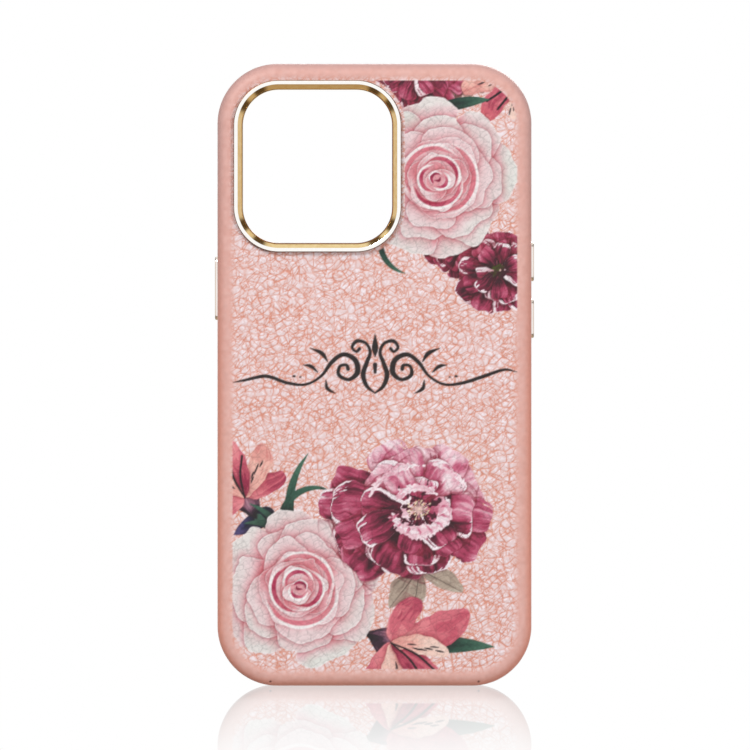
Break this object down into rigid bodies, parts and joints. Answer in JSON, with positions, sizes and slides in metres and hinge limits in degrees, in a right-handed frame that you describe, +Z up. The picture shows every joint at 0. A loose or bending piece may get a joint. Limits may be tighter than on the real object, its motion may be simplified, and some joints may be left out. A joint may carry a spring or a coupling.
{
  "type": "phone case",
  "caption": "Pebbled leather phone case with a floral printed back, metal camera frame and metal side keys.",
  "frame": {"origin": "centre of the bottom edge, half way between the face of the front lip and the face of the camera frame", "axes": "+Z up the case to its camera end, +X to the right when the printed back is seen upright, +Y out of the open side where the handset goes in; the printed back faces -Y"},
  "size_m": [0.0782, 0.0124, 0.1519],
  "materials": {
    "leather": "pebbled grain, printed back",
    "bond_film": "matte",
    "shell_plastic": "matte",
    "soft_rubber": "satin",
    "microfibre": "brushed nap",
    "frame_metal": "polished flat, brushed bevel",
    "gasket": "matte",
    "key_metal": "polished",
    "spring_steel": "brushed",
    "silicone": "matte"
  },
  "bodies": {
    "case_body": {"leather_cover": "leather", "leather_bond_film": "bond_film", "hard_shell": "shell_plastic", "bumper_frame": "soft_rubber", "microfibre_lining": "microfibre", "lining_bond_film": "bond_film", "camera_frame": "frame_metal", "camera_frame_gasket": "gasket"},
    "power_key_body": {"power_key": "key_metal", "power_key_clip": "spring_steel", "power_key_pad": "silicone"},
    "volume_up_key_body": {"volume_up_key": "key_metal", "volume_up_key_clip": "spring_steel", "volume_up_key_pad": "silicone"},
    "volume_down_key_body": {"volume_down_key": "key_metal", "volume_down_key_clip": "spring_steel", "volume_down_key_pad": "silicone"}
  },
  "joints": [
    {"name": "power_press", "type": "slide", "parent": "case_body", "child": "power_key_body", "axis": [1, 0, 0], "range_m": [0, 0.00035], "stiffness_N_per_m": 250, "springref_m": -0.002},
    {"name": "volume_up_press", "type": "slide", "parent": "case_body", "child": "volume_up_key_body", "axis": [-1, 0, 0], "range_m": [0, 0.00035], "stiffness_N_per_m": 250, "springref_m": -0.002},
    {"name": "volume_down_press", "type": "slide", "parent": "case_body", "child": "volume_down_key_body", "axis": [-1, 0, 0], "range_m": [0, 0.00035], "stiffness_N_per_m": 250, "springref_m": -0.002}
  ]
}
